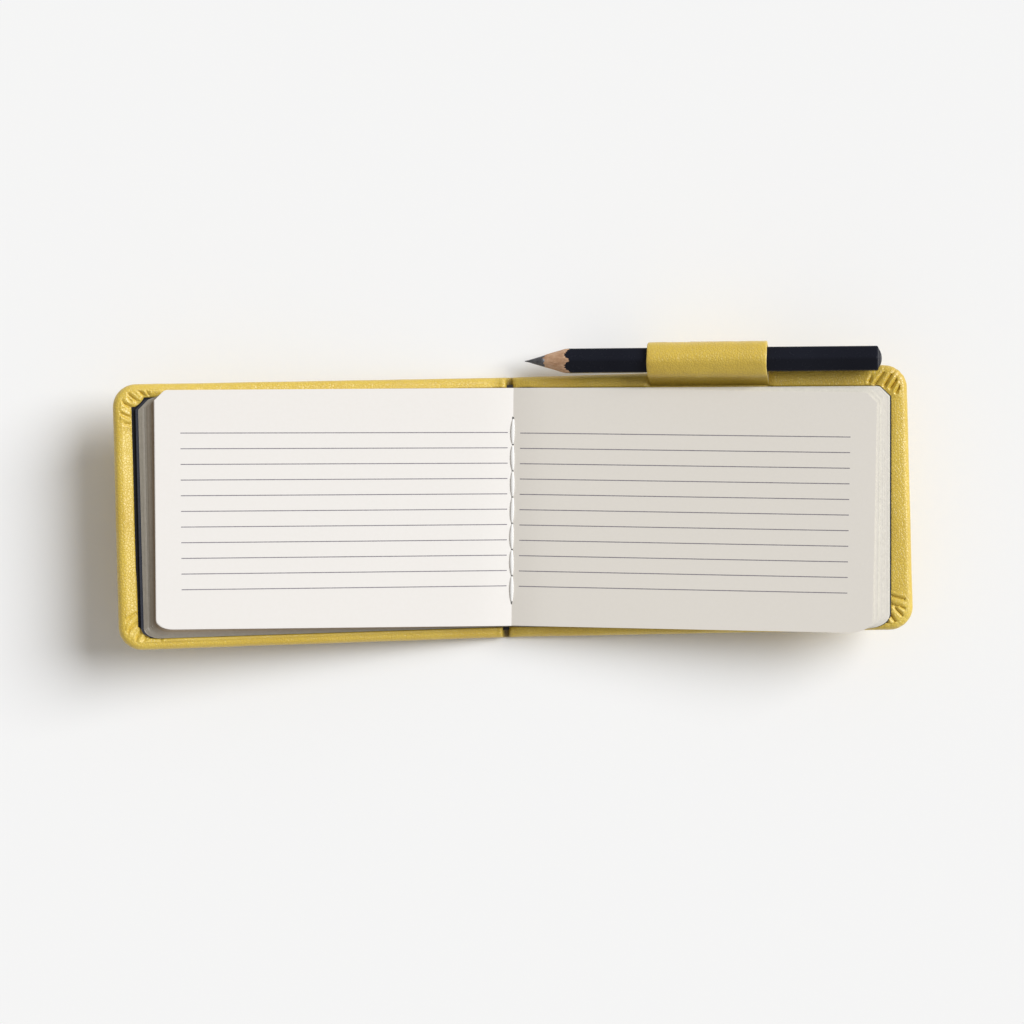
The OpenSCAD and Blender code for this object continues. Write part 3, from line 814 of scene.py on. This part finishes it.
def flyleaf(side):
    """The loose half of the endpaper, under the leaves and a little longer than they are."""
    x, tail, head = leaf_columns(side, 0.0, FLYLEAF_SHOW[side])
    keep = x >= 5
    x, tail, head = x[keep], tail[keep], head[keep]
    z = leaf_z(side, -0.025, x)
    points = []
    for lift in (0.06, -0.06):
        for share in np.linspace(0, 1, FLYLEAF_ROWS):
            px, py = turned(side, x, tail + (head - tail) * share, 0.0)
            points.extend(np.stack([px, py, z + lift], 1).tolist())
    cols = len(x)
    under = FLYLEAF_ROWS * cols
    top = grid_faces(FLYLEAF_ROWS, cols)
    faces = top + [tuple(under + i for i in quad[::-1]) for quad in top]
    faces += [(a, b, under + b, under + a) for a, b in grid_rim(FLYLEAF_ROWS, cols)]
    obj = make_object(SIDE_NAME[side] + "_flyleaf_sheet", points, faces, [ENDPAPER], sharp=35)
    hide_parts(SIDE_NAME[side] + "_flyleaf")
    follow_cover(obj)
    return obj


def follow_cover(obj):
    """Bakes the object's placement into its mesh; it is attached to no body, so it does not move with a
    cover.
    """
    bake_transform(obj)


def ruling(side):
    """The printed lines of one page, laid on its top leaf."""
    share = (LEAVES - 0.5) / LEAVES
    far = leaf_reach(side, share)
    xs = np.concatenate([[RULE_START[side], 2.7, 3.9, 5.2, 6.8, 9.0, 14.0],
                         np.linspace(14, far - RULE_MARGIN, 9)[1:]])
    z = leaf_z(side, share, xs) + LEAF_T / 2
    points, faces = [], []
    for i in range(RULES):
        v = RULE_PITCH * (i - (RULES - 1) / 2) + RULE_SHIFT[side]
        v = v + xs * sin(radians(RULE_TURN[side]))
        first = len(points)
        ripple = page_ripple(side, xs, v)
        for lift in (0.025, -0.03):
            for edge in (-0.5, 0.5):
                px, py = turned(side, xs, v + edge * RULE_W, share)
                points.extend(np.stack([px, py, z + lift + ripple], 1).tolist())
        cols = len(xs)
        ring = [0, 1, 3, 2]
        for k in range(4):
            a, b = ring[k], ring[(k + 1) % 4]
            for c in range(cols - 1):
                faces.append((first + a * cols + c, first + b * cols + c,
                              first + b * cols + c + 1, first + a * cols + c + 1))
        for c in (0, cols - 1):
            faces.append(tuple(first + r * cols + c for r in ring))
    obj = make_object(SIDE_NAME[side] + "_ruling", points, faces, [INK], sharp=30)
    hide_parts("ruled_lines")
    follow_cover(obj)
    return obj


def stitching():
    """Long stitches of flat thread in the gutter, between holes painted dark as shade."""
    sides, steps = 14, 24
    points, faces, slots = [], [], []
    base_z = BACK_Z + GUTTER_H + 0.1
    for n in range(STITCHES):
        v0 = STITCH_PITCH * (n - STITCHES / 2) + STITCH_SHIFT
        first = len(points)
        for i in range(steps + 1):
            t = i / steps
            belly = sin(pi * t)
            x = -0.05 + 0.06 * sin(3 * t + n * 1.7)
            y = v0 + t * STITCH_PITCH
            z = base_z - 0.35 + 0.75 * belly ** 0.35
            half = 0.16 + 0.35 * belly ** 0.7
            for k in range(sides):
                a = 2 * pi * k / sides
                points.append((x + half * cos(a) + y * tan(GUTTER_SKEW), y, z + 0.17 * sin(a)))
        made = tube_faces(steps + 1, sides, first)
        made.append(tuple(range(first, first + sides)))
        made.append(tuple(range(first + steps * sides, first + (steps + 1) * sides)))
        faces += made
        slots += [0] * len(made)
    for n in range(STITCHES + 1):
        y = STITCH_PITCH * (n - STITCHES / 2) + STITCH_SHIFT
        first = len(points)
        for r, z in ((0.34, 0.02), (0.30, 0.05), (0.0, 0.055)):
            for k in range(14):
                a = 2 * pi * k / 14
                ragged = 1 + 0.2 * sin(3 * a + n)
                points.append((0.9 * r * ragged * cos(a) + y * tan(GUTTER_SKEW) - 0.1,
                               y + 1.8 * r * ragged * sin(a), base_z - 0.06 + z))
        made = tube_faces(3, 14, first)
        faces += made
        slots += [1] * len(made)
    obj = make_object("gutter_stitches", points, faces, [THREAD, HOLE_SHADE], face_slots=slots)
    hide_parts("sewing_thread")
    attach(obj, "spine")
    return obj


# Pencil and loop

def pencil_matrix():
    """From the pencil's own axis, with +X from the loop's middle to the blunt end."""
    hinge = Matrix.Translation((SPINE_HALF * MM, 0, HINGE_Z * MM)) @ Matrix.Rotation(-ANGLE[1], 4, "Y")
    place = Matrix.Translation((LOOP_U * MM, PENCIL_V * MM, (PENCIL_W - HINGE_Z) * MM))
    return hinge @ place @ Matrix.Rotation(-PENCIL_SKEW, 4, "Z")


PENCIL = pencil_matrix()
RING = 144
SLOPE = PENCIL_APOTHEM / POINT_LEN


def hexagon_r(phi):
    """Radius of a hexagon with slightly rounded corners, one corner on top."""
    near = (phi + pi / 6) % (pi / 3) - pi / 6
    sharp = PENCIL_APOTHEM / np.cos(near)
    blunt = PENCIL_CORNER - 0.10 - 0.9 * np.maximum(0, 0.06 - (pi / 6 - np.abs(near)))
    return np.minimum(sharp, blunt)


def ring_points(x, r, phi):
    return np.stack([x + 0 * phi, r * np.cos(phi), r * np.sin(phi)], axis=1)


def pencil_piece(name, rings, material, sharp=None):
    """A closed piece from rings along the pencil, tip at x = 0."""
    points = np.concatenate(rings)
    points[:, 0] -= LOOP_U - TIP_U
    faces = tube_faces(len(rings), RING)
    faces.append(tuple(range(RING)))
    faces.append(tuple(range(len(points) - RING, len(points))))
    obj = make_object(name, points, faces, [material], sharp=sharp)
    obj.matrix_world = PENCIL
    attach(obj, "pencil")
    return obj


def jag(phi, teeth, size, seed):
    """Torn edge: uneven teeth round the pencil."""
    saw = np.abs(((phi * teeth / (2 * pi) + 0.31 * np.sin(3 * phi + seed)) % 1) - 0.5) * 2
    ring = np.stack([np.cos(phi), np.sin(phi), 0 * phi], axis=1)
    return size * saw * (0.65 + 0.6 * wobble(ring, 3.1, seed)) + 0.3 * size * wobble(ring, 9.0, seed + 2)


def pencil():
    phi = np.linspace(0, 2 * pi, RING, endpoint=False)
    body_r = hexagon_r(phi)
    paint_start = body_r / SLOPE + np.maximum(jag(phi, 34, 0.75, 4), 0.02)
    end = PENCIL_LEN
    soft = 1.5
    rings = [ring_points(paint_start + 0.5, body_r - 0.6, phi), ring_points(paint_start, body_r - 0.10, phi),
             ring_points(paint_start, body_r, phi)]
    rings += [ring_points(x, body_r, phi) for x in (18.0, 40.0, 70.0, end - 6, end - soft - 0.5)]
    for t in np.linspace(0, 1, 9):
        pull = 0.75 * (1 - cos(t * pi / 2))
        rings.append(ring_points(end - soft + 0.6 * sin(t * pi / 2), body_r - pull, phi))
    for share in (0.92, 0.82, 0.7, 0.55, 0.4, 0.22, 0.05):
        rings.append(ring_points(end - 0.9 * share ** 2, (body_r - 0.75) * share, phi))
    lacquer = pencil_piece("pencil_lacquer_coat", rings, LACQUER, sharp=50)
    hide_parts("pencil_lacquer")

    lead_end = LEAD_R / SLOPE + jag(phi, 5, 0.9, 9)
    wood_end = body_r / SLOPE + 1.0
    wood_rings = [ring_points(lead_end + 0.6, 0.0 * phi + 0.4, phi),
                  ring_points(lead_end, lead_end * SLOPE - 0.02, phi)]
    for t in np.linspace(0, 1, 22)[1:]:
        x = lead_end + (wood_end - lead_end) * t
        ripple = 0.035 * np.sin(7 * phi + 5 * t) + 0.02 * np.sin(19 * phi)
        wood_rings.append(ring_points(x, np.minimum(x * SLOPE + ripple, body_r - 0.04), phi))
    wood_rings.append(ring_points(wood_end + 2, 0 * phi + 0.5, phi))
    wood = pencil_piece("pencil_cedar", wood_rings, CEDAR, sharp=50)
    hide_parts("pencil_wood")

    lead_rings = []
    for x in (0.0, 0.12, 0.3, 0.6, 1.2, 2.2, 3.4, 4.6, 5.8):
        blunt = 0.10 * (1 - x / 0.9) if x < 0.9 else 0.0
        lead_rings.append(ring_points(x, max(x * SLOPE + blunt, 0.05) + 0.015 * np.sin(5 * phi + x), phi))
    lead_rings.append(ring_points(5.9, 0 * phi + 1.2, phi))
    lead = pencil_piece("pencil_graphite", lead_rings, GRAPHITE)
    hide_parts("pencil_lead")


def strap_section():
    """Outer and inner outline of the loop, as offsets from the pencil's axis."""
    inner = PENCIL_CORNER + LOOP_CLEAR
    outer = inner + STRAP_T
    leaf_v = LOOP_LEAF_V - PENCIL_V
    ramp_v = COVER_H / 2 - LEATHER_T - NOTCH_GAP - PENCIL_V
    tail_w = BOARD_TOP - PENCIL_W
    foot = (leaf_v + 2 * NOTCH_GAP, tail_w + STRAP_T)
    over = 2 * pi + atan2(foot[1], foot[0]) - acos(outer / hypot(*foot))
    under = radians(250)
    sag = 0.12
    ring = []
    for a in np.linspace(under - 2 * pi, over, 96):
        r = outer + sag * cos(6 * (a - pi / 2)) * (0.2 < a < 2.9)
        ring.append((r * cos(a), r * sin(a)))
    corners = [ring[-1], foot, (leaf_v + NOTCH_GAP, tail_w), (leaf_v - TAIL_LEN, tail_w),
               (leaf_v - TAIL_LEN, tail_w - STRAP_T), (ramp_v - STRAP_T - 0.1, tail_w - STRAP_T),
               (ramp_v, tail_w + 0.1), ring[0]]
    for n, ((x0, y0), (x1, y1)) in enumerate(zip(corners, corners[1:])):
        steps = 10 if n == 0 else 4
        for i in range(1, steps + 1):
            t = i / steps
            hollow = 0.25 * sin(pi * t) if n == 0 else 0.0
            ring.append((x0 + (x1 - x0) * t + hollow, y0 + (y1 - y0) * t - 0.5 * hollow))
    apex_r = 0.94 * inner / cos((under - over) / 2)
    apex = (apex_r * cos((over + under) / 2), apex_r * sin((over + under) / 2))
    hole = [(inner * cos(a), inner * sin(a)) for a in np.linspace(under - 2 * pi, over, 72)]
    for i in range(1, 6):
        t = i / 6
        hole.append((hole[71][0] + (apex[0] - hole[71][0]) * t, hole[71][1] + (apex[1] - hole[71][1]) * t))
    hole.append(apex)
    for i in range(1, 6):
        t = i / 6
        hole.append((apex[0] + (hole[0][0] - apex[0]) * t, apex[1] + (hole[0][1] - apex[1]) * t))
    return np.array(ring[:-1]), np.array(hole)


def outline_normals(points):
    """Outward normals of a counter-clockwise outline."""
    step = np.roll(points, -1, 0) - np.roll(points, 1, 0)
    normals = np.stack([step[:, 1], -step[:, 0]], axis=1)
    return normals / np.maximum(np.hypot(*normals.T), 1e-6)[:, None]


def pencil_loop():
    outline, hole = strap_section()
    ends = (0.03, 0.10, 0.22, 0.4)
    stations = spaced((-LOOP_LEN / 2 + ends[-1], LOOP_LEN / 2 - ends[-1], 1.2))
    stations = np.concatenate([[-LOOP_LEN / 2 + e for e in (0,) + ends[:-1]], stations,
                               [LOOP_LEN / 2 - e for e in ends[-2::-1] + (0,)]])
    points, faces, slots, loops = [], [], [], []
    for loop_index, base in enumerate((outline, hole)):
        normals = outline_normals(base) * (-1 if loop_index else 1)
        first = len(points)
        count = len(base)
        for x in stations:
            from_end = LOOP_LEN / 2 - abs(x)
            ease = 0.16 * max(0.0, 1 - from_end / ends[-1]) ** 2
            section = base - normals * ease
            spread = np.stack([0 * section[:, 0] + x, section[:, 0], section[:, 1]], axis=1)
            where = np.stack([section[:, 0], section[:, 1], 0 * section[:, 0] + np.sign(x)], 1)
            spread[:, 0] += 0.14 * wobble(where, 0.3, 12) * (1 - min(from_end / 3, 1))
            if loop_index == 0:
                belly = 0.11 * wobble(spread, 0.16, 5) + 0.05 * wobble(spread, 0.45, 6)
                above = section[:, 1] > -2
                belly = belly + 0.18 * (x / LOOP_LEN + 0.5)
                spread[:, 1:] += normals * (above * belly)[:, None]
            points.extend(spread.tolist())
        made = tube_faces(len(stations), count, first, flip=loop_index == 1)
        faces += made
        slots += [0] * len(made)
        loops.append((first, count))
    flat = [[Vector((x, y, 0)) for x, y in base] for base in (outline, hole)]
    for row in (0, len(stations) - 1):
        vertex = [loops[k][0] + row * loops[k][1] + c for k in (0, 1) for c in range(loops[k][1])]
        for triangle in tessellate_polygon(flat):
            faces.append(tuple(vertex[t] for t in triangle))
            slots.append(1)
    obj = make_object("pencil_strap", points, faces, [STRAP_LEATHER, RAW_EDGE], sharp=60, face_slots=slots)
    obj.matrix_world = PENCIL
    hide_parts("pencil_loop")
    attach(obj, "back_cover")
    return obj


# Carried-over pieces keep their shape and get their own finish

def dress_nodes():
    finish = {
        # The pastedowns get the near-black copy of the endpaper as painted shade
        "front_pastedown": PASTEDOWN_PAINTED_SHADE, "back_pastedown": PASTEDOWN_PAINTED_SHADE,
        "front_board": BOARD, "back_board": BOARD,
        # The stiffener gets the near-black cloth as painted shade where it shows in the gap at the spine
        "spine_stiffener": LINING_AND_GAP_SHADE, "spine_lining": LINING_AND_GAP_SHADE,
    }
    for name, material in finish.items():
        mesh = nodes[name].data
        mesh.materials.clear()
        mesh.materials.append(material)


# Floor, light and camera

FLOOR_COLOUR = (0.915, 0.915, 0.915)
AMBIENT = 0.37
AMBIENT_COLOUR = (1.0, 0.96, 0.905)
KEY = 0.972
KEY_COLOUR = (1.0, 1.023, 1.052)
LIGHT_ELEVATION = radians(40.5)
LIGHT_HEADING = (0.913, 0.407)
LIGHT_SPREAD = radians(38)
PIXELS = 1024
FOCAL_PIXELS = 2800
CAMERA_Z = 0.8
CAMERA_ROLL = radians(1.5)
SPINE_PIXEL = (512.5, 507.3)


def stage():
    s = Shader("studio_floor", FLOOR_COLOUR, 0.9, Specular_IOR_Level=0.0)
    size = 2.5
    mesh = bpy.data.meshes.new("studio_floor")
    corners = [(-size, -size, 0), (size, -size, 0), (size, size, 0), (-size, size, 0)]
    mesh.from_pydata(corners, [], [(0, 1, 2, 3)])
    mesh.materials.append(s.material)
    floor = bpy.data.objects.new("studio_floor", mesh)
    floor.location.z = -0.00003
    bpy.context.scene.collection.objects.link(floor)


def world():
    made = bpy.data.worlds.new("studio")
    bpy.context.scene.world = made
    made.use_nodes = True
    tree = made.node_tree
    background = tree.nodes["Background"]
    path = tree.nodes.new("ShaderNodeLightPath")
    seen = tree.nodes.new("ShaderNodeMath")
    seen.operation = "MAXIMUM"
    tree.links.new(path.outputs["Is Camera Ray"], seen.inputs[0])
    tree.links.new(path.outputs["Is Transmission Ray"], seen.inputs[1])
    strength = tree.nodes.new("ShaderNodeMapRange")
    strength.inputs[3].default_value = AMBIENT
    strength.inputs[4].default_value = 0.92
    tree.links.new(seen.outputs[0], strength.inputs[0])
    tree.links.new(strength.outputs[0], background.inputs["Strength"])
    tint = tree.nodes.new("ShaderNodeMix")
    tint.data_type = "RGBA"
    tree.links.new(seen.outputs[0], tint.inputs[0])
    tint.inputs[6].default_value = (*AMBIENT_COLOUR, 1)
    tint.inputs[7].default_value = (1, 1, 1, 1)
    tree.links.new(tint.outputs[2], background.inputs["Color"])


def key_light():
    lamp = bpy.data.lights.new("key", "SUN")
    lamp.energy = KEY * pi
    lamp.color = KEY_COLOUR
    lamp.angle = LIGHT_SPREAD
    obj = bpy.data.objects.new("key", lamp)
    heading = Vector((*LIGHT_HEADING, 0)).normalized()
    towards = heading * cos(LIGHT_ELEVATION) + Vector((0, 0, sin(LIGHT_ELEVATION)))
    obj.rotation_euler = towards.to_track_quat("Z", "Y").to_euler()
    bpy.context.scene.collection.objects.link(obj)


def camera():
    """Straight above, turned so that the covers lean as they do in the photograph."""
    cam = bpy.data.cameras.new("camera")
    cam.sensor_width = 36.0
    cam.lens = 36.0 * FOCAL_PIXELS / PIXELS
    obj = bpy.data.objects.new("camera", cam)
    per_pixel = CAMERA_Z / FOCAL_PIXELS
    right = (PIXELS / 2 - SPINE_PIXEL[0]) * per_pixel
    up = (SPINE_PIXEL[1] - PIXELS / 2) * per_pixel
    roll = -CAMERA_ROLL
    obj.location = (right * cos(roll) - up * sin(roll), right * sin(roll) + up * cos(roll), CAMERA_Z)
    obj.rotation_euler = (0, 0, roll)
    bpy.context.scene.collection.objects.link(obj)
    bpy.context.scene.camera = obj


camera()
stage()
world()
key_light()
dress_nodes()
for cover_side in (-1, 1):
    cover = cover_leather(cover_side)
    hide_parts(*(["front_leather"] if cover_side < 0 else ["back_leather", "spine_leather"]))
    leaves(cover_side)
    flyleaf(cover_side)
    ruling(cover_side)
stitching()
pencil()
pencil_loop()

bpy.context.scene.view_settings.view_transform = "Standard"
